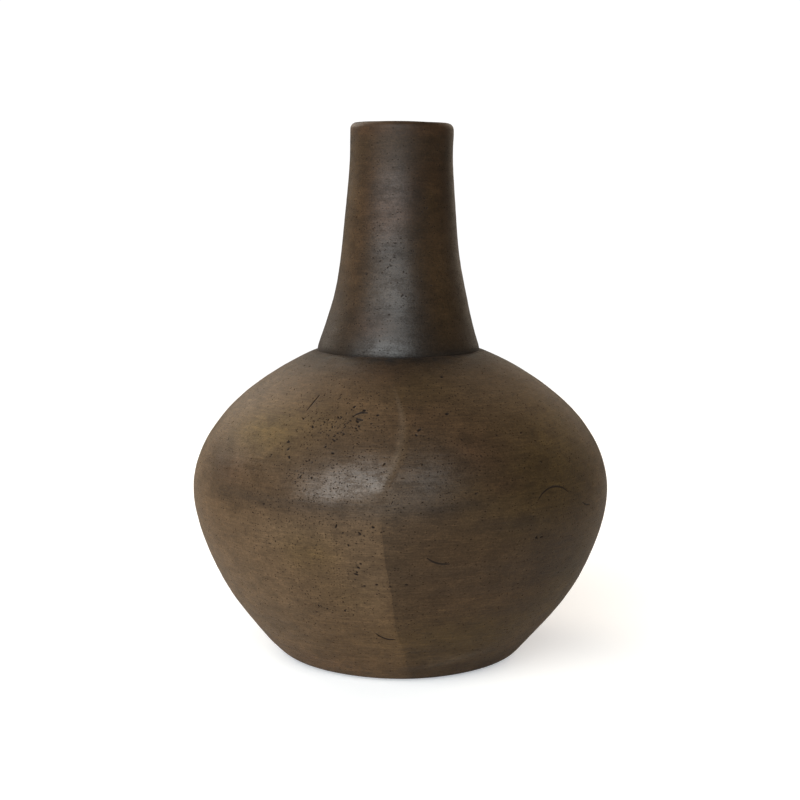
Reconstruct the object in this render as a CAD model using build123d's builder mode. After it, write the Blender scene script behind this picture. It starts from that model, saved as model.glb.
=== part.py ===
from build123d import *
import math
import os

os.makedirs("parts", exist_ok=True)

# Hand-built ceramic bud vase, in millimetres. The vase stands on z = 0 with its axis on Z.
# +X is to the right and -Y is the front, where the two halves of the body meet in a visible seam.
# It is made of clay members that are formed apart and luted together before the firing.

# Overall size
HEIGHT = 200.0
BELLY_RADIUS = 78.5
BELLY_HEIGHT = 64.5
CREASE_RADIUS = 31.0  # where the neck stands on the shoulder
CREASE_HEIGHT = 115.7
SHOULDER_SLOPE = (-0.92, 0.40)  # direction of the shoulder where it reaches the crease
NECK_FLARE = (-0.34, 0.94)  # direction of the neck where it leaves the crease

# Foot and floor
REST_RADIUS = 40.0  # flat part of the underside
FOOT_ROUNDING = 8.5
FOOT_LEAN = 48.0  # slope of the wall where it leaves the foot, in degrees from level
SEAT_HEIGHT = 3.6  # ledge of the base disc that carries the walls
SEAT_RADIUS = 42.5  # raised middle of the base disc, which centres the walls
FLOOR_THICKNESS = 6.0

# Walls
WALL = 5.0
LAP_DEPTH = WALL / 2  # the two halves overlap at half their thickness
LAP_ANGLE = 6.0  # width of the overlap, in degrees round the axis
FRONT_SEAM = 268.0  # where the front seam shows, in degrees from +X
HALF_TURN = 180.0

# Neck
NECK_WAIST_RADIUS = 19.0
SPIGOT_RADIUS = 26.5  # the neck drops into the opening of the shoulder
SPIGOT_LENGTH = 7.7
SPIGOT_BORE = 23.0  # inner radius at the spigot's lower end
MOUTH_RADIUS = 13.75
MOUTH_DEPTH = 20.0  # straight stretch of the bore under the lip

# Lip
COIL_HEIGHT = 10.0  # the rim coil's outer edge reaches this far down
BEVEL_RISE = 2.5  # the joint under the rim coil climbs inwards
LIP_SWELL = 0.15
LIP_ROUNDING = 2.4

# Luting coils pressed into the inside corners and over the seams
FLOOR_COIL_RADIUS = 6.5
NECK_COIL_RADIUS = 4.5
STRIP_THICKNESS = 2.5
STRIP_ANGLE = 8.0
STRIP_START = 0.10  # the strips stop short of the ring coils, as fractions of the wall's length
STRIP_END = 0.93
WALL_STEPS = 14

foot_turn = math.radians(FOOT_LEAN)
foot_start = (
    REST_RADIUS + FOOT_ROUNDING * math.sin(foot_turn),
    FOOT_ROUNDING * (1 - math.cos(foot_turn)),
)
wall_foot = (
    foot_start[0] + (SEAT_HEIGHT - foot_start[1]) / math.tan(foot_turn),
    SEAT_HEIGHT,
)
crease = (CREASE_RADIUS, CREASE_HEIGHT)


def radial_plane(angle):
    """Upright plane through the axis, with its x pointing outwards at this angle from +X."""
    turn = math.radians(angle)
    outwards = (math.cos(turn), math.sin(turn), 0)
    normal = (math.sin(turn), -math.cos(turn), 0)
    return Plane(origin=(0, 0, 0), x_dir=outwards, z_dir=normal)


def wall_line(depth):
    """Section of the body's wall at this depth under its outer face, from the foot up to the neck."""
    outside = Spline(
        wall_foot,
        (62.6, 22.0),
        (74.0, 43.5),
        (BELLY_RADIUS, BELLY_HEIGHT),
        (70.3, 87.2),
        (51.6, 104.6),
        crease,
        tangents=((math.cos(foot_turn), math.sin(foot_turn)), SHOULDER_SLOPE),
        mode=Mode.PRIVATE,
    )
    if depth == 0:
        return outside
    spots = [step / WALL_STEPS for step in range(WALL_STEPS + 1)]
    points = []
    for spot in spots:
        point = outside.position_at(spot)
        tangent = outside.tangent_at(spot)
        points.append((point.X - depth * tangent.Y, point.Y + depth * tangent.X))
    return Spline(*points, mode=Mode.PRIVATE)


outer_line = wall_line(0)
lap_line = wall_line(LAP_DEPTH)
inner_line = wall_line(WALL)
lap_foot = lap_line.position_at(0)
lap_top = lap_line.position_at(1)
inner_foot = inner_line.position_at(0)
inner_top = inner_line.position_at(1)
seat_middle = (wall_foot[0] + SEAT_RADIUS) / 2
opening_middle = (CREASE_RADIUS + SPIGOT_RADIUS) / 2
opening_slope = inner_line.tangent_at(1)
opening_edge = inner_top.Y + (SPIGOT_RADIUS - inner_top.X) * opening_slope.Y / opening_slope.X


def outer_layer(start):
    """Outer half of the wall's thickness, turned through half a turn from this angle."""
    with BuildSketch(radial_plane(start)) as layer:
        with BuildLine():
            add(outer_line)
            Polyline(crease, (opening_middle, CREASE_HEIGHT), lap_top)
            add(lap_line)
            Polyline(lap_foot, (seat_middle, SEAT_HEIGHT), wall_foot)
        make_face()
    revolve(layer.sketch, axis=Axis.Z, revolution_arc=HALF_TURN)


def inner_layer(start):
    """Inner half of the wall's thickness, turned through half a turn from this angle."""
    with BuildSketch(radial_plane(start)) as layer:
        with BuildLine():
            add(lap_line)
            Polyline(
                lap_top,
                (opening_middle, CREASE_HEIGHT),
                (SPIGOT_RADIUS, CREASE_HEIGHT),
                (SPIGOT_RADIUS, opening_edge),
                inner_top,
            )
            add(inner_line)
            Polyline(
                inner_foot,
                (SEAT_RADIUS, FLOOR_THICKNESS),
                (SEAT_RADIUS, SEAT_HEIGHT),
                (seat_middle, SEAT_HEIGHT),
                lap_foot,
            )
        make_face()
    revolve(layer.sketch, axis=Axis.Z, revolution_arc=HALF_TURN)


# Base disc: a rolled slab with a rounded edge, rebated to carry the walls
with BuildPart() as base_disc:
    with BuildSketch(Plane.XZ):
        with BuildLine():
            Line((0, 0), (REST_RADIUS, 0))
            JernArc((REST_RADIUS, 0), (1, 0), FOOT_ROUNDING, FOOT_LEAN)
            Polyline(
                foot_start,
                wall_foot,
                (SEAT_RADIUS, SEAT_HEIGHT),
                (SEAT_RADIUS, FLOOR_THICKNESS),
                (0, FLOOR_THICKNESS),
                (0, 0),
            )
        make_face()
    revolve(axis=Axis.Z)

# The two halves of the body come from one mould. Each laps over the other at one seam and
# under it at the opposite one, so they are the same piece turned through half a turn.
with BuildPart() as body_left_half:
    outer_layer(FRONT_SEAM - HALF_TURN)
    inner_layer(FRONT_SEAM - HALF_TURN + LAP_ANGLE)

with BuildPart() as body_right_half:
    outer_layer(FRONT_SEAM)
    inner_layer(FRONT_SEAM + LAP_ANGLE)

# Neck: a tapered tube with a spigot at its foot and a bevelled top end
bevel_outer = (NECK_WAIST_RADIUS, HEIGHT - COIL_HEIGHT)
bevel_inner = (MOUTH_RADIUS, HEIGHT - COIL_HEIGHT + BEVEL_RISE)
spigot_end = CREASE_HEIGHT - SPIGOT_LENGTH
with BuildPart() as neck:
    with BuildSketch(Plane.XZ):
        with BuildLine():
            Spline(
                crease,
                (26.3, 130.5),
                (22.4, 149.3),
                (20.2, 171.0),
                bevel_outer,
                tangents=(NECK_FLARE, (0, 1)),
            )
            Polyline(bevel_outer, bevel_inner, (MOUTH_RADIUS, HEIGHT - MOUTH_DEPTH))
            Spline(
                (MOUTH_RADIUS, HEIGHT - MOUTH_DEPTH),
                (17.0, 150.0),
                (21.8, 122.0),
                (SPIGOT_BORE, spigot_end),
                tangents=((0, -1), (0, -1)),
            )
            Polyline(
                (SPIGOT_BORE, spigot_end),
                (SPIGOT_RADIUS, spigot_end),
                (SPIGOT_RADIUS, CREASE_HEIGHT),
                crease,
            )
        make_face()
    revolve(axis=Axis.Z)

# Rim coil: seated on the neck's bevel, swelling a little and rounded over to the mouth
with BuildPart() as rim_coil:
    with BuildSketch(Plane.XZ) as lip:
        with BuildLine():
            Line(bevel_inner, bevel_outer)
            Spline(
                bevel_outer,
                (NECK_WAIST_RADIUS + LIP_SWELL, HEIGHT - 2 * LIP_ROUNDING),
                (NECK_WAIST_RADIUS + LIP_SWELL, HEIGHT),
            )
            Polyline((NECK_WAIST_RADIUS + LIP_SWELL, HEIGHT), (MOUTH_RADIUS, HEIGHT), bevel_inner)
        make_face()
        fillet(lip.vertices().group_by(Axis.Y)[-1], LIP_ROUNDING)
    revolve(axis=Axis.Z)


def corner_coil(corner, radius):
    """Ring of soft clay pressed into an inside corner, between the wall, the floor and the spigot."""
    with BuildSketch(Plane.XZ) as coil:
        with BuildLine():
            add(inner_line)
            Polyline(
                inner_top,
                (SPIGOT_RADIUS, opening_edge),
                (SPIGOT_RADIUS, FLOOR_THICKNESS),
                (SEAT_RADIUS, FLOOR_THICKNESS),
                inner_foot,
            )
        make_face()
        with Locations(corner):
            Circle(radius, mode=Mode.INTERSECT)
    revolve(coil.sketch, axis=Axis.Z)


with BuildPart() as base_seam_coil:
    corner_coil((SEAT_RADIUS, FLOOR_THICKNESS), FLOOR_COIL_RADIUS)

with BuildPart() as neck_seam_coil:
    corner_coil((SPIGOT_RADIUS, opening_edge), NECK_COIL_RADIUS)


def seam_strip(angle):
    """Upright strip of soft clay pressed over the inside of a body seam."""
    outside = inner_line.edge().trim(STRIP_START, STRIP_END)
    inside = wall_line(WALL + STRIP_THICKNESS).edge().trim(STRIP_START, STRIP_END)
    with BuildSketch(radial_plane(angle - STRIP_ANGLE / 2)) as strip:
        with BuildLine():
            add(outside)
            Line(outside @ 1, inside @ 1)
            add(inside)
            Line(inside @ 0, outside @ 0)
        make_face()
    revolve(strip.sketch, axis=Axis.Z, revolution_arc=STRIP_ANGLE)


with BuildPart() as front_seam_coil:
    seam_strip(FRONT_SEAM + LAP_ANGLE)

with BuildPart() as back_seam_coil:
    seam_strip(FRONT_SEAM + LAP_ANGLE - HALF_TURN)

pieces = {
    "base_disc": base_disc,
    "body_left_half": body_left_half,
    "body_right_half": body_right_half,
    "neck": neck,
    "rim_coil": rim_coil,
    "base_seam_coil": base_seam_coil,
    "neck_seam_coil": neck_seam_coil,
    "front_seam_coil": front_seam_coil,
    "back_seam_coil": back_seam_coil,
}
for name, piece in pieces.items():
    piece.part.label = name
    export_step(piece.part, f"parts/{name}.step")
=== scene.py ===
"""Looks of the ceramic bud vase: hand-formed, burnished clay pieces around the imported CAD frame.

Lengths inside the shape code are in millimetres and are turned into metres when a mesh is made.
A place on the vase is (turn, height): turn in degrees from the front, positive to the right.
"""

import math
import random

import bmesh
import bpy
import numpy as np
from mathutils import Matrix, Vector, noise


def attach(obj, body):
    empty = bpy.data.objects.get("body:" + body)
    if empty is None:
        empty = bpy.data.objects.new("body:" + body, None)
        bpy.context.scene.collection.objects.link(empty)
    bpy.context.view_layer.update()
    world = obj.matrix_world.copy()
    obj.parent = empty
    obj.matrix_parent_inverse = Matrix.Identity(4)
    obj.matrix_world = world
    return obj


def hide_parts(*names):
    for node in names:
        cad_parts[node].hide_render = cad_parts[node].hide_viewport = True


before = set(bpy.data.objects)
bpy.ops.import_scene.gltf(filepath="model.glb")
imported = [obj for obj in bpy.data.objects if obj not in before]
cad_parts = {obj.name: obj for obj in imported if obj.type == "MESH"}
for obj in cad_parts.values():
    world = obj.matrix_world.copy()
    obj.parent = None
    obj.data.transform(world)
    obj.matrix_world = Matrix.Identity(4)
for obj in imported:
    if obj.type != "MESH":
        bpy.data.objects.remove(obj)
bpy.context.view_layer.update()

MM = 0.001
SEED = 20


# ---------------------------------------------------------------- shader nodes

class Nodes:
    """Short calls for one material's node tree. Each gives the socket that carries its result."""

    def __init__(self, name):
        self.material = bpy.data.materials.new(name)
        self.material.use_nodes = True
        self.tree = self.material.node_tree
        self.shader = self.tree.nodes["Principled BSDF"]
        self.position = self.tree.nodes.new("ShaderNodeTexCoord").outputs["Object"]

    def plug(self, socket, value):
        if isinstance(value, bpy.types.NodeSocket):
            self.tree.links.new(value, socket)
        else:
            socket.default_value = value

    def maths(self, operation, a, b=0.0, clamp=False):
        node = self.tree.nodes.new("ShaderNodeMath")
        node.operation = operation
        node.use_clamp = clamp
        self.plug(node.inputs[0], a)
        self.plug(node.inputs[1], b)
        return node.outputs[0]

    def mark(self, name):
        """A mark that the mesh carries."""
        node = self.tree.nodes.new("ShaderNodeAttribute")
        node.attribute_name = name
        return node.outputs["Fac"]

    def ramp(self, value, low, high):
        """0 at low, 1 at high, smooth between."""
        node = self.tree.nodes.new("ShaderNodeMapRange")
        node.interpolation_type = "SMOOTHSTEP"
        self.plug(node.inputs["Value"], value)
        self.plug(node.inputs["From Min"], low)
        self.plug(node.inputs["From Max"], high)
        return node.outputs["Result"]

    def noise(self, size, squash=1.0, detail=3.0, roughness=0.55, shift=0.0):
        """Noise with features about this many millimetres wide, squashed in height."""
        place = self.tree.nodes.new("ShaderNodeMapping")
        place.inputs["Location"].default_value = (shift, 2 * shift, 3 * shift)
        scale = 1 / (size * MM)
        place.inputs["Scale"].default_value = (scale, scale, scale * squash)
        self.plug(place.inputs["Vector"], self.position)
        node = self.tree.nodes.new("ShaderNodeTexNoise")
        node.inputs["Scale"].default_value = 1.0
        node.inputs["Detail"].default_value = detail
        node.inputs["Roughness"].default_value = roughness
        self.plug(node.inputs["Vector"], place.outputs["Vector"])
        return node.outputs["Fac"]

    def specks(self, size, share, reach, shift=0.0):
        """Small marks with uneven outlines, 1 in the middle of one. share of the cells hold one.

        size is a cell's size in millimetres and reach a mark's radius as a part of it.
        """
        wobble = self.tree.nodes.new("ShaderNodeTexNoise")
        wobble.inputs["Scale"].default_value = 1.1 / (size * MM)
        self.plug(wobble.inputs["Vector"], self.position)
        bent = self.tree.nodes.new("ShaderNodeVectorMath")
        bent.operation = "MULTIPLY_ADD"
        self.plug(bent.inputs[0], wobble.outputs["Color"])
        bent.inputs[1].default_value = (0.9 * size * MM,) * 3
        self.plug(bent.inputs[2], self.position)
        place = self.tree.nodes.new("ShaderNodeMapping")
        place.inputs["Location"].default_value = (shift, 2 * shift, 3 * shift)
        place.inputs["Scale"].default_value = (1 / (size * MM), 1 / (size * MM), 1.7 / (size * MM))
        self.plug(place.inputs["Vector"], bent.outputs["Vector"])
        cells = self.tree.nodes.new("ShaderNodeTexVoronoi")
        cells.inputs["Scale"].default_value = 1.0
        self.plug(cells.inputs["Vector"], place.outputs["Vector"])
        dice = self.tree.nodes.new("ShaderNodeSeparateXYZ")
        self.plug(dice.inputs[0], cells.outputs["Color"])
        chosen = self.maths("LESS_THAN", dice.outputs[0], share)
        return self.maths("MULTIPLY", self.ramp(cells.outputs["Distance"], reach, 0.5 * reach), chosen)

    def mix(self, share, a, b):
        """Colour between a and b."""
        node = self.tree.nodes.new("ShaderNodeMix")
        node.data_type = "RGBA"
        self.plug(node.inputs[0], share)
        self.plug(node.inputs[6], a if isinstance(a, bpy.types.NodeSocket) else (*a, 1))
        self.plug(node.inputs[7], b if isinstance(b, bpy.types.NodeSocket) else (*b, 1))
        return node.outputs[2]

    def scaled(self, colour, factor):
        """Colour made lighter or darker."""
        node = self.tree.nodes.new("ShaderNodeVectorMath")
        node.operation = "SCALE"
        self.plug(node.inputs[0], colour)
        self.plug(node.inputs["Scale"], factor)
        return node.outputs[0]

    def bumps(self, height, distance, under=None):
        """Bumps of this distance in millimetres, on top of the bumps under them."""
        node = self.tree.nodes.new("ShaderNodeBump")
        node.inputs["Strength"].default_value = 1.0
        node.inputs["Distance"].default_value = distance * MM
        self.plug(node.inputs["Height"], height)
        if under:
            self.plug(node.inputs["Normal"], under)
        return node.outputs["Normal"]


# ---------------------------------------------------------------- camera, lights, floor

EYE = Vector((0.0, -0.609, 0.176))
EYE_PITCH = 7.45
LENS = 72.6


def add_camera():
    """Camera a little lower than the lip and three vase heights away, looking down a little."""
    data = bpy.data.cameras.new("camera")
    data.lens = LENS
    data.sensor_width = 36.0
    camera = bpy.data.objects.new("camera", data)
    camera.location = EYE
    camera.rotation_euler = (math.radians(90 - EYE_PITCH), 0, 0)
    bpy.context.scene.collection.objects.link(camera)
    bpy.context.scene.camera = camera


LIGHTS_AIM = Vector((0, 0, 0.1))
DAYLIGHT = (0.93, 0.98, 1.0)
WARM_SKY = (1.0, 0.92, 0.80)
WARM_BOUNCE = (1.0, 0.84, 0.66)


def add_softbox(name, turn, rise, size, power, distance=1.5, colour=DAYLIGHT, mirrored=True):
    """Rectangular soft light at this turn from the front and rise above the level, aimed at the vase.

    mirrored says whether the vase's sheen shows it.
    """
    data = bpy.data.lights.new(name, "AREA")
    data.shape = "RECTANGLE"
    data.size, data.size_y = size
    data.energy = power
    data.color = colour
    light = bpy.data.objects.new(name, data)
    turn, rise = math.radians(turn), math.radians(rise)
    level = distance * math.cos(rise)
    light.location = LIGHTS_AIM + Vector(
        (level * math.sin(turn), -level * math.cos(turn), distance * math.sin(rise))
    )
    light.rotation_euler = (LIGHTS_AIM - light.location).to_track_quat("-Z", "Y").to_euler()
    light.visible_camera = False
    light.visible_glossy = mirrored
    bpy.context.scene.collection.objects.link(light)


ROOM_LIGHT_LEFT = 0.22
ROOM_LIGHT_RIGHT = 0.06
BACKDROP_LIGHT = 1.05


def add_surroundings():
    """Surroundings that the camera sees white, and the vase as a dim room, brighter on the left."""
    world = bpy.data.worlds.new("studio")
    bpy.context.scene.world = world
    world.use_nodes = True
    tree = world.node_tree
    direction = tree.nodes.new("ShaderNodeTexCoord")
    axes = tree.nodes.new("ShaderNodeSeparateXYZ")
    tree.links.new(direction.outputs["Generated"], axes.inputs["Vector"])
    room = tree.nodes.new("ShaderNodeMapRange")
    room.interpolation_type = "SMOOTHSTEP"
    room.inputs["From Min"].default_value = -0.6
    room.inputs["From Max"].default_value = 0.5
    room.inputs["To Min"].default_value = ROOM_LIGHT_LEFT
    room.inputs["To Max"].default_value = ROOM_LIGHT_RIGHT
    tree.links.new(axes.outputs["X"], room.inputs["Value"])
    rays = tree.nodes.new("ShaderNodeLightPath")
    seen = tree.nodes.new("ShaderNodeMix")
    tree.links.new(rays.outputs["Is Camera Ray"], seen.inputs["Factor"])
    tree.links.new(room.outputs["Result"], seen.inputs["A"])
    seen.inputs["B"].default_value = BACKDROP_LIGHT
    background = tree.nodes["Background"]
    background.inputs["Color"].default_value = (1, 1, 1, 1)
    tree.links.new(seen.outputs["Result"], background.inputs["Strength"])


FLOOR_RADIUS = 1.1
PAPER_COLOUR = (0.80, 0.77, 0.73, 1)
PAPER_GLOW = 0.42
GLOW_COLOUR = (0.90, 0.94, 1.0, 1)


def add_floor():
    """Round sheet of white paper that fades out at its edge. Only the camera sees its glow."""
    mesh = bpy.data.meshes.new("floor")
    bm = bmesh.new()
    bmesh.ops.create_circle(bm, cap_ends=True, segments=96, radius=FLOOR_RADIUS)
    bm.to_mesh(mesh)
    bm.free()
    floor = bpy.data.objects.new("floor", mesh)
    bpy.context.scene.collection.objects.link(floor)
    paper = Nodes("paper")
    paper.shader.inputs["Base Color"].default_value = PAPER_COLOUR
    paper.shader.inputs["Roughness"].default_value = 0.9
    paper.shader.inputs["Emission Color"].default_value = GLOW_COLOUR
    rays = paper.tree.nodes.new("ShaderNodeLightPath")
    glow = paper.maths("MULTIPLY", rays.outputs["Is Camera Ray"], PAPER_GLOW)
    paper.plug(paper.shader.inputs["Emission Strength"], glow)
    length = paper.tree.nodes.new("ShaderNodeVectorMath")
    length.operation = "LENGTH"
    paper.plug(length.inputs[0], paper.position)
    edge = paper.ramp(length.outputs["Value"], FLOOR_RADIUS, 0.45 * FLOOR_RADIUS)
    paper.plug(paper.shader.inputs["Alpha"], edge)
    mesh.materials.append(paper.material)


def add_studio():
    """White floor, pale room, a window to the front left and three weak lights at the back."""
    bpy.context.scene.view_settings.view_transform = "Standard"
    add_surroundings()
    add_floor()
    add_softbox("window", -20, 27, distance=1.6, size=(2.0, 1.6), power=49)
    add_softbox("left_rim", -137, 32, size=(1.0, 0.9), power=11, colour=WARM_SKY)
    add_softbox("right_rim", 152, 20, size=(0.9, 0.9), power=3.8, colour=WARM_BOUNCE)
    add_softbox(
        "right_fill", 124, 18, size=(1.0, 1.0), power=14, colour=WARM_BOUNCE, mirrored=False
    )


# ---------------------------------------------------------------- outlines

BELLY_RADIUS = 78.5
BELLY_HEIGHT = 64.5
CREASE = (31.0, 115.7)
FOOT_LEAN = math.radians(48)
REST_RADIUS = 40.0
FOOT_ROUNDING = 8.5
SCUFFED_RADIUS = 33.0
SEAT_RADIUS, SEAT_HEIGHT, FLOOR_TOP = 42.5, 3.6, 6.0
WALL = 5.0
SPIGOT_RADIUS, SPIGOT_BORE, SPIGOT_END = 26.5, 23.0, 108.0
MOUTH_RADIUS = 13.75
NECK_TOP = (19.0, 190.0)
BEVEL_TOP = (MOUTH_RADIUS, 192.5)
LIP_TOP = 200.0
LIP_ROUNDING = 2.4


def smooth_curve(points, start, end, steps=80):
    """Curve through (radius, height) points that leaves and arrives in the given directions."""
    knots = np.array(points, float)
    chords = np.hypot(*np.diff(knots, axis=0).T)
    count = len(knots)
    system = np.eye(count)
    wanted = np.zeros((count, 2))
    wanted[0] = np.array(start) / np.hypot(*start)
    wanted[-1] = np.array(end) / np.hypot(*end)
    for i in range(1, count - 1):
        before, after = chords[i - 1], chords[i]
        system[i, i - 1 : i + 2] = after, 2 * (before + after), before
        wanted[i] = 3 * (
            after * (knots[i] - knots[i - 1]) / before + before * (knots[i + 1] - knots[i]) / after
        )
    slopes = np.linalg.solve(system, wanted)
    t = np.linspace(0, 1, steps, endpoint=False)[:, None]
    spans = []
    for i in range(count - 1):
        spans.append(
            (2 * t**3 - 3 * t**2 + 1) * knots[i]
            + (t**3 - 2 * t**2 + t) * chords[i] * slopes[i]
            + (3 * t**2 - 2 * t**3) * knots[i + 1]
            + (t**3 - t**2) * chords[i] * slopes[i + 1]
        )
    return np.vstack(spans + [knots[-1:]])


def arc(centre, radius, start, end, steps=24):
    """Round corner in the outline, from one angle to another, in degrees."""
    angles = np.radians(np.linspace(start, end, steps))
    return np.column_stack(
        (centre[0] + radius * np.cos(angles), centre[1] + radius * np.sin(angles))
    )


class Outline:
    """A section line of the vase, measured by the length along it."""

    def __init__(self, points):
        keep = np.hypot(*np.diff(points, axis=0).T) > 1e-6
        points = points[np.concatenate(([True], keep))]
        steps = np.hypot(*np.diff(points, axis=0).T)
        self.length = np.concatenate(([0], np.cumsum(steps)))
        self.points = points
        along = np.gradient(points, self.length, axis=0)
        along /= np.hypot(*along.T)[:, None]
        self.normals = np.column_stack((along[:, 1], -along[:, 0]))

    def at(self, along):
        """Radius and height at these lengths."""
        return (
            np.interp(along, self.length, self.points[:, 0]),
            np.interp(along, self.length, self.points[:, 1]),
        )

    def normal(self, along):
        """Outward direction, as radius and height, at these lengths."""
        return (
            np.interp(along, self.length, self.normals[:, 0]),
            np.interp(along, self.length, self.normals[:, 1]),
        )

    def spaced(self, count):
        """Evenly spaced lengths."""
        return np.linspace(0, self.length[-1], count)

    def sunk(self, depth, count):
        """Points at this depth under the line."""
        along = self.spaced(count)
        radius, height = self.at(along)
        out, up = self.normal(along)
        return np.column_stack((radius - depth * out, height - depth * up))


foot_point = (
    REST_RADIUS + FOOT_ROUNDING * math.sin(FOOT_LEAN),
    FOOT_ROUNDING * (1 - math.cos(FOOT_LEAN)),
)
wall_foot = (
    foot_point[0] + (SEAT_HEIGHT - foot_point[1]) / math.tan(FOOT_LEAN),
    SEAT_HEIGHT,
)
body_line = Outline(
    smooth_curve(
        [
            wall_foot,
            (62.6, 22.0),
            (74.0, 43.5),
            (BELLY_RADIUS, BELLY_HEIGHT),
            (70.3, 87.2),
            (51.6, 104.6),
            CREASE,
        ],
        (math.cos(FOOT_LEAN), math.sin(FOOT_LEAN)),
        (-0.92, 0.40),
    )
)
neck_line = Outline(
    smooth_curve(
        [CREASE, (26.3, 130.5), (22.4, 149.3), (20.2, 171.0), NECK_TOP], (-0.34, 0.94), (0, 1)
    )
)
lip_outer = NECK_TOP[0]
lip_line = Outline(
    np.vstack(
        (
            smooth_curve([NECK_TOP, (lip_outer, LIP_TOP - 2 * LIP_ROUNDING)], (0, 1), (0, 1), 12),
            arc((lip_outer - LIP_ROUNDING, LIP_TOP - LIP_ROUNDING), LIP_ROUNDING, 0, 90),
            arc((MOUTH_RADIUS + LIP_ROUNDING, LIP_TOP - LIP_ROUNDING), LIP_ROUNDING, 90, 180),
        )
    )
)
foot_line = Outline(
    np.vstack(
        (
            [(SCUFFED_RADIUS, 0.0)],
            arc((REST_RADIUS, FOOT_ROUNDING), FOOT_ROUNDING, -90, -90 + math.degrees(FOOT_LEAN)),
            [wall_foot],
        )
    )
)


# ---------------------------------------------------------------- unevenness of the hand-formed clay

FRONT_SEAM = [
    (3.6, 4),
    (12, 2.5),
    (24, -1),
    (40, -2.5),
    (55, -4),
    (71, -4),
    (85, 0),
    (97, 2),
    (107, -2),
    (115.7, -6),
]
BACK_SEAM = [(3.6, -3.0), (30.0, 0.5), (62.0, 2.0), (90.0, -1.5), (115.7, 1.0)]


def eased(points, where):
    """Smooth interpolation through (place, value) points."""
    places, values = np.array(points, float).T
    where = np.clip(where, places[0], places[-1])
    slopes = np.gradient(values, places)
    i = np.clip(np.searchsorted(places, where) - 1, 0, len(places) - 2)
    span = places[i + 1] - places[i]
    t = (where - places[i]) / span
    return (
        (2 * t**3 - 3 * t**2 + 1) * values[i]
        + (t**3 - 2 * t**2 + t) * span * slopes[i]
        + (3 * t**2 - 2 * t**3) * values[i + 1]
        + (t**3 - t**2) * span * slopes[i + 1]
    )


def front_seam_turn(height):
    return eased(FRONT_SEAM, height)


def back_seam_turn(height):
    return 180 + eased(BACK_SEAM, height)


def ramp(value, low, high):
    """0 below low, 1 above high, smooth between."""
    t = np.clip((value - low) / (high - low), 0, 1)
    return t * t * (3 - 2 * t)


def bump(value, centre, width):
    return np.exp(-(((value - centre) / width) ** 2))


def grain(points, scale, seed):
    """Smooth noise between about -1 and 1 at each point, for lumps about 1 / scale apart."""
    shift = Vector((seed * 7.1, seed * 3.3, seed * 5.7))
    return np.array([noise.noise(Vector(p) * scale + shift) for p in points])


SWAY = [
    (0, 0.0), (8, -0.6), (16, -0.25), (30, 0.2), (45, 0.2), (64, 0.05), (98, 0.0), (110, -0.4),
    (118, -0.6), (126, -0.3), (136, 0.1), (150, 0.05), (200, 0.75),
]
SPREAD = [
    (0, 0.2), (4, 0.6), (17, 0.35), (31, 0.45), (45, 0.4), (54, 0.3), (64, 0.4), (76, 0.5),
    (92, 0.3), (110, 0),
]


def uneven_place(turn, radius, height):
    """Where a round point really lies: the axis wanders a little and the rim is not quite level."""
    angle = np.radians(turn)
    groove = np.exp(-np.hypot(radius - CREASE[0], height - CREASE[1]) / 0.7)
    foot = bump(turn, 4, 26) * (1 - ramp(height, 3, 14))
    radius = radius + 0.22 * np.sin(2 * angle + height / 40) * ramp(height, 0, 20)
    radius = radius + 1.0 * foot - 0.45 * groove + eased(SPREAD, height)
    x = radius * np.sin(angle) + eased(SWAY, height)
    y = -radius * np.cos(angle)
    tilt = ramp(height, 170, 200) * (0.12 - 0.011 * x)
    return x, y, height + tilt + 0.32 * ramp(height, 88, 112) - 0.25 * groove


SWELL_EDGE = [(-80, 82), (-55, 75.5), (-38, 71), (-25, 70), (-8, 71), (0, 74)]
ARC = [(75, -5), (81, -2.5), (85, -1), (90, 0.3), (98, 1), (108, -2)]
SMEAR = [(0, 6.5), (11, 8.5), (18, 10), (24, 12), (38, 13)]


# How far these features of the front stand out or lie under the round outline
RIDGE_RISE = 0.95
SEAM_STEP = 0.12
ARC_RISE = 0.45
SWELL_RISE = 1.0
SHOULDER_HOLLOW = 0.35
THUMB_HOLLOW = 0.45
SMEAR_RISE = 0.60


def arc_mark(turn, height, radius):
    """The smooth ridge that curves over the front seam on the shoulder, from 0 to 1."""
    across = np.radians(turn - eased(ARC, height)) * radius
    width = 0.8 + 1.0 * ramp(height, 104, 88)
    return bump(across, 0, width) * ramp(height, 70, 80) * (1 - ramp(height, 98, 109))


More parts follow.
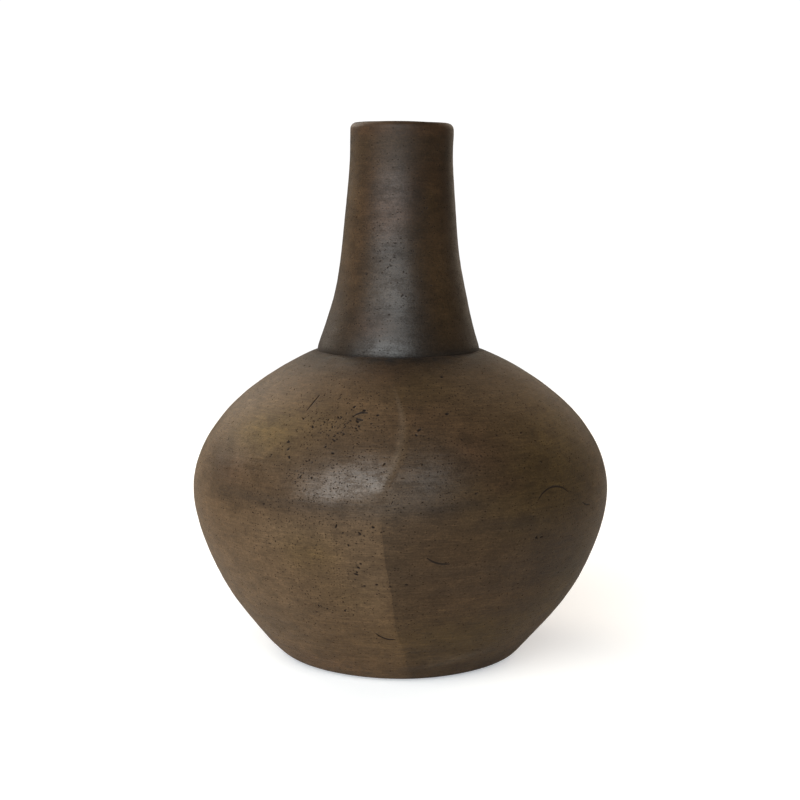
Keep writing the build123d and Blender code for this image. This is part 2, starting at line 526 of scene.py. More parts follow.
def body_relief(turn, height, radius, points):
    """How far the body's surface stands out from its round outline."""
    across = np.radians(turn - front_seam_turn(height)) * radius
    near = (np.abs(turn) < 100).astype(float)
    # a low ridge down the seam, with a facet on each side of it
    blunt = 0.4 + 9 * ramp(height, 68, 86)
    ridge = np.exp((blunt - np.hypot(across + 0.6, blunt)) / 17)
    relief = RIDGE_RISE * ridge * near * ramp(height, 4, 18)
    step = ramp(across, -1.0, 1.2) * np.exp(-np.maximum(across, 0) / 9)
    relief -= SEAM_STEP * step * (1 - ramp(height, 66, 80)) * near
    relief += ARC_RISE * arc_mark(turn, height, radius)
    # the burnished swelling of the left front, which ends in a soft edge above the belly
    edge = eased(SWELL_EDGE, turn)
    side = ramp(turn, -82, -50) * (1 - ramp(turn, -8, 2))
    swell = ramp(height, edge - 3.0, edge + 4.0) * (1 - ramp(height, edge + 5, edge + 30))
    relief += SWELL_RISE * swell * side
    # hollow beside the seam near the shoulder
    relief -= SHOULDER_HOLLOW * bump(np.radians(turn + 7) * radius, 0, 8) * bump(height, 103, 6)
    # thumb hollow and smear of clay where the seam meets the foot
    relief -= THUMB_HOLLOW * bump(np.radians(turn - 8) * radius, 0, 6) * bump(height, 13, 3.5)
    smear = eased(SMEAR, turn)
    relief += SMEAR_RISE * bump(height, smear, 2.5) * ramp(turn, -4, 8) * (1 - ramp(turn, 26, 40))
    relief += 0.30 * grain(points, 1 / 34, 1) + 0.07 * grain(points * (1, 1, 2.2), 1 / 9, 2)
    # the joint lines at the foot and under the neck stay where they are
    hold = ramp(height, 3.6, 9) * (1 - ramp(height, 110, 115.6))
    return relief * hold


def neck_relief(turn, height, radius, points):
    """How far the neck's surface stands out from its round outline."""
    relief = 0.14 * grain(points * (1, 1, 0.6), 1 / 14, 3) + 0.05 * grain(points * (1, 1, 3), 1 / 7, 4)
    return relief * ramp(height, 116, 123) * (1 - ramp(height, 183, 190))


def lip_relief(turn, height, radius, points):
    """How far the lip stands out from its round outline: it bulges a little on the right."""
    outside = ramp(radius, 15, 18.5)
    relief = 0.10 * grain(points, 1 / 9, 5) * ramp(height, 190, 194)
    relief += 0.15 * bump(turn, 88, 30) * bump(height, 196, 2.6) * outside
    return relief


def foot_relief(turn, height, radius, points):
    """The flat of the foot is scuffed."""
    return -0.05 * np.abs(grain(points, 1 / 5, 6)) * (1 - ramp(radius, 37, 40))


# ---------------------------------------------------------------- pits and burnt-out fibres

# Crowds of larger pits where the front shows them. Each has its middle as turn and height, its
# spread in degrees and in millimetres, the number of pits and their size.
PIT_CROWDS = [
    (-34, 89, 2, 2, 3, 0.32),
    (-29, 97, 2, 1, 2, 0.30),
    (-13, 98, 4, 2, 4, 0.30),
    (-16, 88, 5, 5, 7, 0.25),
    (-33, 75, 8, 8, 5, 0.24),
    (-8, 64, 4, 4, 5, 0.30),
    (-15, 49, 4, 3, 4, 0.30),
    (-8, 43, 4, 2, 4, 0.28),
    (-13, 31, 6, 5, 4, 0.27),
    (38, 56.5, 1, 0.4, 4, 0.30),
    (8, 98, 5, 4, 3, 0.30),
    (22, 84, 12, 14, 4, 0.24),
]
NECK_PIT_CROWDS = [(-20, 148, 9, 3, 5, 0.19), (0, 132, 4, 5, 3, 0.19), (24, 166, 3, 12, 3, 0.19)]


def scattered_pits():
    """Pits as (turn, height, long half axis, short half axis, slant, depth)."""
    dice = random.Random(SEED)
    pits = []

    def add(turn, height, size):
        stretch = dice.uniform(1.2, 2.6)
        slant = dice.gauss(0, 32)
        pits.append((turn, height, size * stretch, size, slant, size * dice.uniform(0.8, 1.2)))

    for _ in range(200):
        add(dice.gauss(-19, 12), dice.uniform(26, 108), dice.uniform(0.09, 0.17))
    for _ in range(34):
        add(dice.gauss(-19.5, 2.8), dice.gauss(94.5, 2.4), dice.uniform(0.12, 0.24))
    for _ in range(150):
        add(dice.uniform(-176, 176), dice.uniform(12, 112), dice.uniform(0.09, 0.17))
    for turn, height, wide, tall, count, size in PIT_CROWDS:
        for _ in range(count):
            add(dice.gauss(turn, wide), dice.gauss(height, tall), size * dice.uniform(0.85, 1.15))
    return pits


def scattered_neck_pits():
    """Pits of the neck, in the same form."""
    dice = random.Random(SEED + 1)
    pits = []

    def add(turn, height, size):
        stretch, slant = dice.uniform(1.5, 3), dice.gauss(0, 25)
        pits.append((turn, height, size * stretch, size, slant, size * 0.8))

    for _ in range(60):
        add(dice.uniform(-170, 170), dice.uniform(120, 186), dice.uniform(0.08, 0.16))
    for _ in range(14):
        add(dice.gauss(-14, 9), dice.gauss(152.5, 2.2), dice.uniform(0.10, 0.20))
    for turn, height, wide, tall, count, size in NECK_PIT_CROWDS:
        for _ in range(count):
            add(dice.gauss(turn, wide), dice.gauss(height, tall), size)
    return pits


# Straw marks on the front: the turn and height where one starts, its heading over the level, how
# much it bends at each step, and the number of its points. Angles are in degrees.
FRONT_FIBRES = [
    (37.5, 70, 45, -17, 7),
    (55.5, 65.5, -30, 20, 3),
    (6.5, 53, -40, 18, 4),
    (-7.5, 23, -38, 20, 4),
    (-33, 99, 75, 0, 3),
    (-15, 98.3, 20, -20, 3),
    (-14, 97.3, -10, 0, 2),
]


FIBRE_STEP = (2.2, 2.4)  # in degrees round the axis and in millimetres of height


def fibre_path(turn, height, heading, bend, count):
    """Points of a straw mark as (turn, height), a step apart."""
    points = []
    for _ in range(count):
        points.append((turn, height))
        turn += FIBRE_STEP[0] * math.cos(math.radians(heading))
        height += FIBRE_STEP[1] * math.sin(math.radians(heading))
        heading += bend
    return points


def scattered_fibres():
    """The marks on the front, and more like them round the sides and back."""
    dice = random.Random(SEED + 2)
    fibres = [fibre_path(*start) for start in FRONT_FIBRES]
    for _ in range(12):
        turn, height = dice.uniform(70, 290), dice.uniform(22, 104)
        heading, bend = dice.uniform(-40, 40), dice.uniform(-35, 35)
        fibres.append(fibre_path(turn, height, heading, bend, 4))
    return fibres


PITS = scattered_pits()
NECK_PITS = scattered_neck_pits()
BODY_FIBRES = scattered_fibres()
FIBRE_HALF_WIDTH = 0.24
FIBRE_DEPTH = 0.26


# A mark is only worked out this near its middle, in degrees and millimetres
PIT_WINDOW = (4, 3)
FIBRE_WINDOW = (14, 12)


def pit_marks(turn, height, radius, pits):
    """Depth of the pits at each place, and how much of a pit each place is, from 0 to 1."""
    depth = np.zeros(len(turn))
    mark = np.zeros(len(turn))
    for pit_turn, pit_height, long, short, slant, deep in pits:
        near = np.abs(turn - pit_turn) < PIT_WINDOW[0]
        near &= np.abs(height - pit_height) < PIT_WINDOW[1]
        near = np.nonzero(near)[0]
        if not len(near):
            continue
        across = np.radians(turn[near] - pit_turn) * radius[near]
        up = height[near] - pit_height
        lean = math.radians(slant)
        u = (across * math.cos(lean) + up * math.sin(lean)) / long
        v = (up * math.cos(lean) - across * math.sin(lean)) / short
        inside = np.exp(-((u * u + v * v) ** 1.5))
        depth[near] = np.maximum(depth[near], deep * inside)
        mark[near] = np.maximum(mark[near], inside)
    return depth, mark


def fibre_gap(turn, height, radius, points):
    """Distance of each place from a fibre's line, and how far along the fibre the nearest spot is."""
    places = np.linspace(0, 1, len(points))
    t = np.linspace(0, 1, 17)
    turns = eased(list(zip(places, [point[0] for point in points])), t)
    heights = eased(list(zip(places, [point[1] for point in points])), t)
    gap = np.full(len(turn), 1e3)
    spot = np.zeros(len(turn))
    near = np.abs((turn - turns.mean() + 180) % 360 - 180) < FIBRE_WINDOW[0]
    near &= np.abs(height - heights.mean()) < FIBRE_WINDOW[1]
    near = np.nonzero(near)[0]
    for i in range(len(t) - 1):
        across = np.radians((turn[near] - turns[i] + 180) % 360 - 180) * radius[near]
        up = height[near] - heights[i]
        run = np.radians(turns[i + 1] - turns[i]) * radius[near]
        rise = heights[i + 1] - heights[i]
        share = np.clip((across * run + up * rise) / (run * run + rise * rise), 0, 1)
        distance = np.hypot(across - share * run, up - share * rise)
        closer = distance < gap[near]
        gap[near] = np.where(closer, distance, gap[near])
        spot[near] = np.where(closer, (i + share) / (len(t) - 1), spot[near])
    return gap, spot


def fibre_marks(turn, height, radius, fibres):
    """How much of a fibre's groove each place is, from 0 to 1. The grooves thin out at their ends."""
    mark = np.zeros(len(turn))
    for points in fibres:
        gap, spot = fibre_gap(turn, height, radius, points)
        width = FIBRE_HALF_WIDTH * (0.5 + 0.5 * np.sin(np.pi * spot))
        mark = np.maximum(mark, np.exp(-((gap / width) ** 2)))
    return mark


# ---------------------------------------------------------------- patches of colour, of painted light and shade, and of polish

# Soft patches as (turn, height, half width in degrees, half height, strength)
OCHRE = [
    (-45, 91, 15, 7, 1.0), (-27, 97, 10, 4, 0.2), (-24, 53, 8, 7, 0.6), (-14, 38, 9, 6, 0.2),
    (8, 106, 14, 5, 0.4), (40, 72, 24, 16, 0.7), (24, 20, 30, 9, 0.6), (56, 88, 16, 14, 0.5),
    (58, 36, 12, 14, 0.6), (-62, 160, 26, 30, 0.25), (42, 142, 16, 20, 0.2), (34, 172, 12, 8, 0.25),
    (120, 80, 22, 12, 0.7), (200, 50, 26, 14, 0.6), (-115, 45, 24, 10, 0.6), (-150, 95, 18, 8, 0.7),
]
RUST = [
    (-52, 78, 8, 5, 0.5), (21, 86, 9, 7, 0.7), (28, 76, 6, 3, 0.6), (-8, 111, 14, 4, 0.6),
    (-38, 6, 25, 4, 0.5), (-10, 166, 20, 9, 1.0), (0, 181, 50, 12, 0.4), (0, 198, 200, 3.5, 0.6),
    (-20, 126, 14, 4, 0.5), (8, 97, 10, 6, 0.3), (-52, 154, 22, 26, 0.4), (40, 154, 18, 26, 0.25),
    (90, 98, 16, 7, 0.5), (160, 70, 20, 9, 0.6), (-130, 70, 14, 10, 0.5),
]
# Pale clay, and painted light: the rim-lit edges on the left and right, the side beside the front seam
# that faces the window, the lit lower right, and painted highlights along the lip and on the smear at
# the foot.
PALE_AND_PAINTED_LIGHT = [
    (-8, 45, 8, 20, 0.6), (-48, 34, 24, 24, 0.75), (-20, 52, 18, 26, 0.35), (-30, 56, 14, 8, 0.3),
    (-60, 98, 22, 12, 0.65), (22, 12, 12, 4, 0.5), (-76, 78, 14, 26, 0.7), (74, 82, 14, 26, 0.6),
    (-26, 62, 22, 7, 0.4), (52, 26, 14, 10, 0.4), (-5, 190, 40, 9, 0.25), (18, 9.8, 12, 2.2, 0.8),
    (-4, 76, 5, 2.5, 0.5), (-3, 70, 7, 4, 0.9), (36, 105, 18, 7, 0.4), (72, 42, 14, 16, 0.5),
    (150, 40, 40, 12, 0.5), (-120, 98, 30, 8, 0.5),
]
# Fire clouding, and painted shade: the painted shadow band under the swelling of the left front, the
# painted shadow under the smear at the foot, and darkened edges of the neck's lower part.
SMOKE_AND_PAINTED_SHADE = [
    (46, 53, 16, 8, 1.0), (30, 63, 12, 3.5, 0.9), (26, 47, 30, 3, 0.6), (50, 41, 20, 4, 0.9),
    (38.2, 56.8, 3.2, 1.3, 0.9), (12, 80, 9, 8, 0.6), (12, 70, 14, 2, 0.7), (40, 30, 18, 2.5, 0.4),
    (20, 40, 14, 2, 0.5), (-59, 80, 9, 7, 0.9), (-40, 70, 20, 3.0, 0.9), (-14, 69.5, 16, 3, 0.8),
    (-21, 85, 8, 4, 0.2), (-46, 22, 10, 2, 0.4), (-28, 30, 12, 2, 0.3), (58, 82, 8, 8, 0.3),
    (38, 4.5, 20, 2.5, 0.7), (60, 146, 14, 12, 0.5), (-64, 126, 18, 12, 0.9),
    (-14, 154, 20, 4, 0.9), (-4, 188, 14, 3, 0.7), (20, 170, 9, 8, 0.5), (16, 130, 10, 14, 0.6),
    (130, 50, 30, 14, 0.7), (175, 96, 22, 9, 0.6), (-140, 60, 24, 8, 0.6), (-100, 85, 16, 8, 0.5),
]
POLISH = [
    (-14, 92, 20, 7, 0.15), (12, 84, 8, 7, 0.3), (-14, 77.5, 11, 6.5, 0.8), (-8, 80.5, 5, 5, 0.8),
    (-21, 73, 6, 3, 0.6), (9, 78, 8, 8, 0.4), (-44, 80, 14, 7, 0.3), (-6, 118, 38, 4.5, 0.62),
    (3, 137, 31, 15, 0.52), (-8, 177, 22, 8, 0.32), (-12, 160, 30, 12, 0.3),
    (120, 150, 50, 30, 0.7), (-140, 130, 50, 20, 0.7), (110, 70, 26, 16, 0.5),
    (190, 88, 26, 10, 0.7), (-120, 75, 22, 12, 0.6),
]
# Painted shade: patches that darken the colour under the neck and on the right of the belly, where
# less light falls. They add to the shade mark.
PAINTED_SHADE_PATCHES = [
    (36, 79, 19, 10, 1.0), (50, 70, 16, 10, 1.0), (-8, 110, 22, 5, 1.0), (-52, 76, 9, 8, 0.5),
    (-1, 104, 10, 6, 0.8),
]
FRECKLES = [
    (-20, 64, 16, 34, 1.0), (-16, 92, 14, 10, 0.7), (10, 98, 12, 12, 0.6), (30, 84, 20, 14, 0.4),
    (-14, 153, 18, 3, 0.6), (-4, 148, 40, 26, 0.1), (150, 70, 50, 26, 0.6), (-110, 80, 34, 18, 0.5),
]


def patches(spots, turn, height):
    """Strength of soft patches at each place, from 0 to about 1."""
    strength = np.zeros(len(turn))
    for spot_turn, spot_height, wide, tall, peak in spots:
        across = (turn - spot_turn + 180) % 360 - 180
        strength += peak * np.exp(-((across / wide) ** 2) - ((height - spot_height) / tall) ** 2)
    return np.clip(strength, 0, 1)


# The darkening at the crease is partly soot from the fire and partly painted shade where the neck
# meets the shoulder.
SOOT_AND_PAINTED_SHADE_RISE, SOOT_AND_PAINTED_SHADE_DROP = 5.0, 5.5  # how far the soot reaches over and under the crease
PAINTED_SHADE_PATCHES_DEPTH = 0.6


def colour_marks(turn, height, side):
    """Patches, the darkening on both sides of the crease, partly soot from the fire and partly painted
    shade where the neck meets the shoulder, and the painted shade of the right half.

    side is -1 on the left half of the body, 1 on the right half and 0 elsewhere. The shade begins
    sharply at the front seam on the lower body and softly above.
    """
    over = np.maximum(height - CREASE[1], 0)
    under = np.maximum(CREASE[1] - height, 0)
    # Darkening round the crease, stronger at the front: partly soot, partly painted shade.
    soot_and_painted_shade = np.exp(-over / SOOT_AND_PAINTED_SHADE_RISE - (under / SOOT_AND_PAINTED_SHADE_DROP) ** 1.5)
    soot_and_painted_shade *= 0.70 + 0.30 * np.cos(np.radians(turn))
    past_front = (turn - front_seam_turn(height) + 180) % 360 - 180
    softness = 1.6 + 13 * ramp(height, 58, 86) + 3.5 * ramp(height, 34, 12)
    # Painted shade of the right half, where less light falls; it stands in part for the right half's
    # darker clay as well.
    shade = ramp(past_front + side, -softness, softness) * (1 - ramp(turn, 120, 178))
    shade += PAINTED_SHADE_PATCHES_DEPTH * patches(PAINTED_SHADE_PATCHES, turn, height)
    return {
        "shade": shade,
        "pale": patches(PALE_AND_PAINTED_LIGHT, turn, height),
        "ochre": patches(OCHRE, turn, height),
        "rust": patches(RUST, turn, height),
        "smoke_and_painted_shade": patches(SMOKE_AND_PAINTED_SHADE, turn, height),
        "freckles": patches(FRECKLES, turn, height),
        "polish": patches(POLISH, turn, height),
        "soot_and_painted_shade": soot_and_painted_shade,
    }


# ---------------------------------------------------------------- meshes

STEP = 4  # columns and rows of the outside to each one of the inside
ON_SKIN = 0.99  # vertices of the outer skin carry a mark of 1
MARKS = ("pit", "fibre", "pale", "shade", "ochre", "rust", "smoke_and_painted_shade", "freckles", "polish", "soot_and_painted_shade")
JOINT_ANGLE = math.radians(40)


class Clay:
    """Builds one closed clay piece: a fine outer skin, a coarse inside and the joint faces between.

    Until the skin is shaped, its vertices are kept on a unit cylinder, with the length along the
    outline as their height. Splitting them there keeps every new vertex on the outline.
    """

    def __init__(self, name, side=0):
        self.name = name
        self.side = side
        self.bm = bmesh.new()
        self.skin = self.bm.verts.layers.float.new("skin")

    def skin_row(self, turns, along):
        """Row of outer vertices, still on the unit cylinder."""
        row = []
        for angle in np.radians(turns):
            vert = self.bm.verts.new((math.sin(angle), -math.cos(angle), along))
            vert[self.skin] = 1.0
            row.append(vert)
        return row

    def inner_row(self, turns, radius, height):
        """Row of inner vertices, at their final places."""
        angles = np.radians(turns)
        return [
            self.bm.verts.new((radius * math.sin(angle), -radius * math.cos(angle), height))
            for angle in angles
        ]

    def grid(self, rows, closed=False):
        """Quads between rows of equal length."""
        for low, high in zip(rows, rows[1:]):
            for j in range(len(low) if closed else len(low) - 1):
                k = (j + 1) % len(low)
                self.bm.faces.new((low[j], low[k], high[k], high[j]))

    def strip(self, fine, coarse, closed=False):
        """Faces between a fine row and a coarse one."""
        for k in range(len(coarse) if closed else len(coarse) - 1):
            edge = [fine[(k * STEP + i) % len(fine)] for i in range(STEP + 1)]
            self.bm.faces.new([coarse[k], coarse[(k + 1) % len(coarse)]] + edge[::-1])

    def cap(self, row, height):
        """Closes a coarse ring to a point on the axis."""
        centre = self.bm.verts.new((0, 0, height))
        for j, vert in enumerate(row):
            self.bm.faces.new((vert, row[(j + 1) % len(row)], centre))

    def in_skin(self, face):
        return all(vert[self.skin] > ON_SKIN for vert in face.verts)

    def refine(self, wanted, levels):
        """Splits faces of the skin where wanted(turns, alongs, level) says so, once a level."""
        for level in range(levels):
            faces = [face for face in self.bm.faces if self.in_skin(face)]
            middles = np.array([face.calc_center_median() for face in faces])
            turns = np.degrees(np.arctan2(middles[:, 0], -middles[:, 1]))
            chosen = wanted(turns, middles[:, 2], level)
            edges = {edge for face, yes in zip(faces, chosen) if yes for edge in face.edges}
            edges = [edge for edge in edges if all(self.in_skin(face) for face in edge.link_faces)]
            edges.sort(key=lambda edge: edge.index)
            bmesh.ops.subdivide_edges(self.bm, edges=edges, cuts=1, use_grid_fill=True)
            self.bm.edges.index_update()

    def shape(self, outline, relief, pits, fibres):
        """Moves the skin to its real place and notes its marks for the material."""
        layers = {key: self.bm.verts.layers.float.new(key) for key in MARKS}
        self.skin = self.bm.verts.layers.float["skin"]
        verts = [vert for vert in self.bm.verts if vert[self.skin] > ON_SKIN]
        places = np.array([vert.co for vert in verts])
        turn = np.degrees(np.arctan2(places[:, 0], -places[:, 1]))
        angle = np.radians(turn)
        radius, height = outline.at(places[:, 2])
        out, up = outline.normal(places[:, 2])
        rounds = np.column_stack((radius * np.sin(angle), -radius * np.cos(angle), height))
        depth, pit = pit_marks(turn, height, radius, pits)
        fibre = fibre_marks(turn, height, radius, fibres)
        lift = relief(turn, height, radius, rounds) - depth - FIBRE_DEPTH * fibre
        x, y, z = uneven_place(turn, radius + lift * out, height + lift * up)
        for vert, place in zip(verts, zip(x, y, z)):
            vert.co = place
        marks = {"pit": pit, "fibre": fibre, **colour_marks(turn, height, self.side)}
        # Along the arc ridge the colour is made paler too: a painted highlight on the ridge.
        if self.side:
            marks["pale"] = np.maximum(marks["pale"], arc_mark(turn, height, radius))
        for key, layer in layers.items():
            for vert, value in zip(verts, marks[key]):
                vert[layer] = value

    def piece(self, slot, material):
        """Makes the object and ties it to the frame."""
        bmesh.ops.recalc_face_normals(self.bm, faces=self.bm.faces)
        for edge in self.bm.edges:
            sides = [self.in_skin(face) for face in edge.link_faces]
            edge.smooth = all(sides) or not any(sides) and edge.calc_face_angle() < JOINT_ANGLE
        bmesh.ops.scale(self.bm, vec=(MM, MM, MM), verts=self.bm.verts)
        mesh = bpy.data.meshes.new("clay_" + self.name)
        for face in self.bm.faces:
            face.smooth = True
        self.bm.to_mesh(mesh)
        self.bm.free()
        mesh.materials.append(material)
        piece = bpy.data.objects.new("clay_" + self.name, mesh)
        bpy.context.scene.collection.objects.link(piece)
        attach(piece, "root")
        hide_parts(self.name)
        return piece


FINE_REACHES = (0.7, 0.35)  # the mesh is refined this far past a mark, at each level


def near_marks(outline, pits, fibres):
    """Tells Clay.refine where pits and fibres need a finer mesh."""

    def wanted(turns, alongs, level):
        radius, height = outline.at(alongs)
        chosen = np.zeros(len(turns), bool)
        reach = FINE_REACHES[level]
        for pit_turn, pit_height, long, short, slant, deep in pits:
            gap = np.hypot(np.radians(turns - pit_turn) * radius, height - pit_height)
            chosen |= gap < 1.3 * long + reach
        for points in fibres:
            chosen |= fibre_gap(turns, height, radius, points)[0] < FIBRE_HALF_WIDTH + reach
        return chosen

    return wanted


LAP_COLUMNS = 3  # the halves overlap by this many coarse columns, 6 degrees
BODY_COLUMNS = 90
BODY_SPANS = 34
RING_COLUMNS = 60
NECK_ROWS, LIP_ROWS, FOOT_ROWS = 100, 40, 26


def body_half(name, side, start, end):
    """Half of the body, going right from one seam to the other.

    It laps over the other half at its start and under it at its end.
    """
    clay = Clay(name, side)
    alongs = body_line.spaced(BODY_SPANS * STEP + 1)
    heights = body_line.at(alongs)[1]
    share = np.linspace(0, 1, BODY_COLUMNS * STEP + 1)
    skin = []
    for along, first, last in zip(alongs, start(heights), end(heights)):
        skin.append(clay.skin_row(first + share * (last - first), along))
    clay.grid(skin)

    inner = body_line.sunk(WALL, BODY_SPANS + 1)
    middle = body_line.sunk(WALL / 2, BODY_SPANS + 1)
    inner[0] = (SEAT_RADIUS, SEAT_HEIGHT)
    middle[0] = ((wall_foot[0] + SEAT_RADIUS) / 2, SEAT_HEIGHT)
    inner[-1] = (SPIGOT_RADIUS, CREASE[1])
    middle[-1] = ((CREASE[0] + SPIGOT_RADIUS) / 2, CREASE[1])
    everywhere = np.arange(BODY_COLUMNS + LAP_COLUMNS + 1)
    at_laps = (everywhere <= LAP_COLUMNS) | (everywhere >= BODY_COLUMNS)
    inside, between = [], []
    for i in range(BODY_SPANS + 1):
        first, last = start(heights[i * STEP]), end(heights[i * STEP])
        turns = first + everywhere * (last - first) / BODY_COLUMNS
        inside.append(clay.inner_row(turns[LAP_COLUMNS:], *inner[i]))
        columns = everywhere if i in (0, BODY_SPANS) else everywhere[at_laps]
        between.append(dict(zip(columns, clay.inner_row(turns[columns], *middle[i]))))

    def middle_columns(row, low, high):
        return [row[column] for column in range(low, high + 1)]

    over, under = LAP_COLUMNS, BODY_COLUMNS
    clay.grid(inside)
    clay.strip([row[0] for row in skin], [row[0] for row in between])
    clay.grid([middle_columns(row, 0, over) for row in between])
    clay.grid([[row[over] for row in between], [row[0] for row in inside]])
    clay.strip([row[-1] for row in skin], [row[under] for row in between])
    clay.grid([middle_columns(row, under, under + over) for row in between])
    clay.grid([[row[under + over] for row in between], [row[-1] for row in inside]])
    for i in (0, -1):
        clay.strip(skin[i], middle_columns(between[i], 0, under))
        clay.grid([middle_columns(between[i], over, under + over), inside[i]])
    return clay


def make_body(materials):
    """Both halves of the body. The left one starts at the back seam, a whole turn earlier."""

    def back_seam_before(height):
        return back_seam_turn(height) - 360

    halves = (
        ("body_left_half", -1, back_seam_before, front_seam_turn, "body_clay"),
        ("body_right_half", 1, front_seam_turn, back_seam_turn, "body_clay_dark"),
    )
    for name, side, start, end, slot in halves:
        clay = body_half(name, side, start, end)
        clay.refine(near_marks(body_line, PITS, BODY_FIBRES), len(FINE_REACHES))
        clay.shape(body_line, body_relief, PITS, BODY_FIBRES)
        clay.piece(slot, materials[slot])


def ring(name, outline, rows, columns):
    """Skin of a full ring. Gives the piece, its skin's rows and the turns of its coarse columns."""
    clay = Clay(name)
    turns = np.linspace(-180, 180, columns * STEP, endpoint=False)
    skin = [clay.skin_row(turns, along) for along in outline.spaced(rows)]
    clay.grid(skin, closed=True)
    return clay, skin, turns[::STEP]


def close_tube(clay, skin, turns, points):
    """Inside of a tube, through these points from the skin's first row to its last."""
    rows = [clay.inner_row(turns, *point) for point in points]
    clay.strip(skin[0], rows[0], closed=True)
    clay.grid(rows, closed=True)
    clay.strip(skin[-1], rows[-1], closed=True)


def make_neck(materials):
    """Tapered tube with its spigot and bore."""
    bore = smooth_curve(
        [(SPIGOT_BORE, SPIGOT_END), (21.8, 122.0), (17.0, 150.0), (MOUTH_RADIUS, 180.0)],
        (0, 1),
        (0, 1),
        10,
    )
    spigot = [(SPIGOT_RADIUS, CREASE[1]), (SPIGOT_RADIUS, SPIGOT_END)]
    clay, skin, turns = ring("neck", neck_line, NECK_ROWS, RING_COLUMNS)
    close_tube(clay, skin, turns, np.vstack((spigot, bore, [BEVEL_TOP])))
    clay.refine(near_marks(neck_line, NECK_PITS, []), len(FINE_REACHES))
    clay.shape(neck_line, neck_relief, NECK_PITS, [])
    clay.piece("neck_clay", materials["neck_clay"])


def make_lip(materials):
    """Rounded lip on the neck's bevelled end."""
    clay, skin, turns = ring("rim_coil", lip_line, LIP_ROWS, RING_COLUMNS)
    close_tube(clay, skin, turns, [BEVEL_TOP, (MOUTH_RADIUS, 195.0)])
    clay.shape(lip_line, lip_relief, [], [])
    clay.piece("neck_clay", materials["neck_clay"])


def make_foot(materials):
    """Base disc: rounded foot, raised middle inside and a slight hollow under the flat."""
    clay, skin, turns = ring("base_disc", foot_line, FOOT_ROWS, BODY_COLUMNS)
    top = [(SEAT_RADIUS, SEAT_HEIGHT), (SEAT_RADIUS, FLOOR_TOP), (28.0, FLOOR_TOP), (12.0, FLOOR_TOP)]
    hollow = [(24.0, 0.15), (12.0, 0.3)]
    for edge, points, centre in ((skin[-1], top, FLOOR_TOP), (skin[0], hollow, 0.35)):
        rows = [clay.inner_row(turns, *point) for point in points]
        clay.strip(edge, rows[0], closed=True)
        clay.grid(rows, closed=True)
        clay.cap(rows[-1], centre)
    clay.shape(foot_line, foot_relief, [], [])
    clay.piece("base_clay", materials["base_clay"])


# ---------------------------------------------------------------- materials

# Tints of the marks. The pale, smoke and soot tints also serve as painted light and painted shade.
PALE_AND_PAINTED_LIGHT_TINT = (0.115, 0.076, 0.044)
OCHRE_TINT = (0.095, 0.058, 0.018)
RUST_TINT = (0.078, 0.037, 0.018)
SMOKE_AND_PAINTED_SHADE_TINT = (0.026, 0.0185, 0.0135)
SOOT_AND_PAINTED_SHADE_TINT = (0.012, 0.009, 0.007)
PIT_TINT = (0.009, 0.005, 0.003)
# How much the shade mark darkens the colour: painted shade, in part darker clay.
SHADE_DEPTH = 0.35


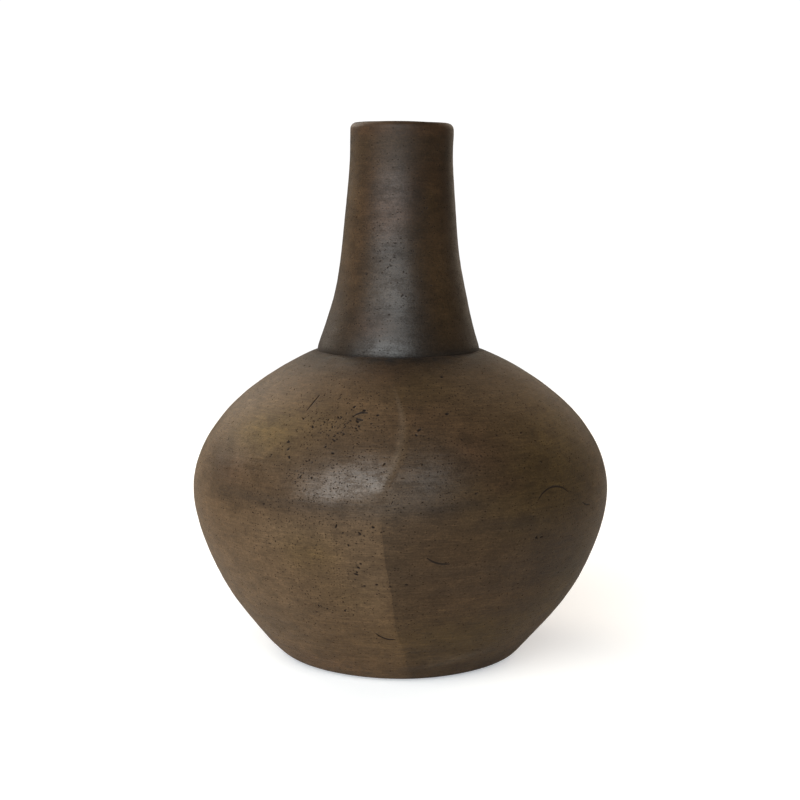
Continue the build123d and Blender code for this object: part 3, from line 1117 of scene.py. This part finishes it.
def clay_material(
    name,
    pale,
    deep,
    roughness,
    polished,
    specular=0.15,
    coat=0.75,
    coat_roughness=0.32,
    brushing=0.10,
    streaks=1.0,
):
    """Fired clay: mottled, brushed round in fine level lines, speckled, smoked in places, and with
    painted light and shade in places.

    pale and deep are the clay's lightest and darkest tones. roughness is that of the plain surface
    and polished that of its burnished patches. coat is how strongly those shine. brushing is the
    depth of the level lines in millimetres, and streaks how strongly they show in the colour.
    """
    nodes = Nodes(name)
    clouds = nodes.noise(38, squash=1.6, detail=4, shift=3.1)
    mottles = nodes.noise(7, squash=1.8, detail=4, shift=7.7)
    lines = nodes.noise(11, squash=14, detail=5, roughness=0.7, shift=1.3)
    fine_lines = nodes.noise(3.5, squash=10, detail=2, shift=5.9)
    hairlines = nodes.noise(16, squash=40, detail=4, roughness=0.75, shift=2.6)
    flecks = nodes.noise(1.7, squash=1.5, detail=2, roughness=0.6, shift=4.4)
    grains = nodes.noise(0.65, squash=1.2, detail=3, roughness=0.75, shift=9.2)

    colour = nodes.mix(nodes.ramp(clouds, 0.32, 0.68), deep, pale)
    streaky_edge = nodes.maths("ADD", nodes.maths("MULTIPLY", lines, 2.4), -0.35)
    cloudy_edge = nodes.maths("ADD", nodes.maths("MULTIPLY", mottles, 1.6), 0.15)
    soft_edge = nodes.maths("ADD", nodes.maths("MULTIPLY", mottles, 0.6), 0.70)
    # The pale, smoke and soot marks also paint light and shade into the colour.
    for mark, tint, amount, edge in (
        ("pale", PALE_AND_PAINTED_LIGHT_TINT, 0.50, soft_edge),
        ("ochre", OCHRE_TINT, 0.68, cloudy_edge),
        ("rust", RUST_TINT, 0.55, cloudy_edge),
        ("smoke_and_painted_shade", SMOKE_AND_PAINTED_SHADE_TINT, 0.55, streaky_edge),
        ("soot_and_painted_shade", SOOT_AND_PAINTED_SHADE_TINT, 0.90, cloudy_edge),
    ):
        strength = nodes.maths("MULTIPLY", nodes.mark(mark), edge)
        strength = nodes.maths("MULTIPLY", strength, amount, clamp=True)
        colour = nodes.mix(strength, colour, tint)
    # Painted shade: the shade mark darkens the right half and the patches where less light falls.
    tone = nodes.maths("SUBTRACT", 1.0, nodes.maths("MULTIPLY", nodes.mark("shade"), SHADE_DEPTH))
    for pattern, amount in (
        (mottles, 0.44),
        (flecks, 0.32),
        (lines, 0.45 * streaks),
        (fine_lines, 0.34 * streaks),
        (grains, 0.72),
        (hairlines, 0.36 * streaks),
    ):
        change = nodes.maths("MULTIPLY", nodes.maths("SUBTRACT", pattern, 0.5), 2 * amount)
        tone = nodes.maths("MULTIPLY", tone, nodes.maths("ADD", change, 1.0))
    crowding = nodes.maths("MULTIPLY", nodes.mark("freckles"), nodes.ramp(mottles, 0.30, 0.62))
    small_share = nodes.maths("ADD", nodes.maths("MULTIPLY", crowding, 0.50), 0.08)
    large_share = nodes.maths("ADD", nodes.maths("MULTIPLY", crowding, 0.20), 0.02)
    small = nodes.specks(0.95, small_share, reach=0.42, shift=2.3)
    large = nodes.specks(2.2, large_share, reach=0.22, shift=6.1)
    colour = nodes.scaled(colour, tone)
    for mark, amount in (
        (small, 0.80),
        (large, 0.95),
        (nodes.ramp(nodes.mark("fibre"), 0.08, 0.45), 0.95),
        (nodes.ramp(nodes.mark("pit"), 0.15, 0.60), 1.0),
    ):
        colour = nodes.mix(nodes.maths("MULTIPLY", mark, amount), colour, PIT_TINT)
    nodes.plug(nodes.shader.inputs["Base Color"], colour)

    blotches = nodes.maths("ADD", nodes.maths("MULTIPLY", lines, 0.5), mottles)
    broken = nodes.ramp(nodes.maths("ADD", blotches, nodes.maths("SUBTRACT", grains, 0.5)), 0.52, 0.90)
    gloss = nodes.maths(
        "MULTIPLY", nodes.mark("polish"), nodes.maths("ADD", broken, 0.30), clamp=True
    )
    dullness = nodes.maths("ADD", nodes.maths("MULTIPLY", gloss, polished - roughness), roughness)
    dullness = nodes.maths("ADD", dullness, nodes.maths("MULTIPLY", fine_lines, 0.12))
    dry = nodes.maths("MAXIMUM", nodes.mark("pit"), nodes.maths("SUBTRACT", 1.0, nodes.mark("skin")))
    dry = nodes.maths("MAXIMUM", dry, nodes.maths("MAXIMUM", small, large))
    dullness = nodes.maths("ADD", dullness, nodes.maths("MULTIPLY", dry, 0.35), clamp=True)
    nodes.plug(nodes.shader.inputs["Roughness"], dullness)
    nodes.shader.inputs["Specular IOR Level"].default_value = specular
    nodes.shader.inputs["Diffuse Roughness"].default_value = 1.0
    nodes.shader.inputs["Coat Roughness"].default_value = coat_roughness
    wax = nodes.maths("MULTIPLY", gloss, coat)
    wax = nodes.maths("MULTIPLY", wax, nodes.maths("SUBTRACT", 1.0, dry))
    nodes.plug(nodes.shader.inputs["Coat Weight"], wax)

    relief = nodes.bumps(grains, 0.09)
    relief = nodes.bumps(lines, brushing, relief)
    relief = nodes.bumps(fine_lines, brushing / 2, relief)
    relief = nodes.bumps(large, -0.12, relief)
    nodes.plug(nodes.shader.inputs["Normal"], relief)
    nodes.plug(nodes.shader.inputs["Coat Normal"], relief)
    return nodes.material


def make_materials():
    """One material for each slot. The foot and both halves of the body look alike."""
    body = {
        "pale": (0.076, 0.0432, 0.0202),
        "deep": (0.059, 0.0332, 0.0151),
        "roughness": 0.54,
        "polished": 0.42,
    }
    neck = {
        "pale": (0.0365, 0.0203, 0.0086),
        "deep": (0.0220, 0.0119, 0.0050),
        "roughness": 0.44,
        "polished": 0.30,
        "specular": 0.20,
        "coat": 0.55,
        "coat_roughness": 0.30,
        "brushing": 0.03,
        "streaks": 0.6,
    }
    inner = {
        "pale": (0.080, 0.060, 0.043),
        "deep": (0.060, 0.044, 0.031),
        "roughness": 0.80,
        "polished": 0.75,
    }
    looks = {
        "base_clay": body,
        "body_clay": body,
        "body_clay_dark": body,
        "neck_clay": neck,
        "inner_clay": inner,
    }
    return {slot: clay_material("fired_" + slot, **look) for slot, look in looks.items()}


# ---------------------------------------------------------------- the whole scene

materials = make_materials()
make_foot(materials)
make_body(materials)
make_neck(materials)
make_lip(materials)
for name in ("base_seam_coil", "neck_seam_coil", "front_seam_coil", "back_seam_coil"):
    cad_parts[name].material_slots[0].material = materials["inner_clay"]
add_studio()
add_camera()
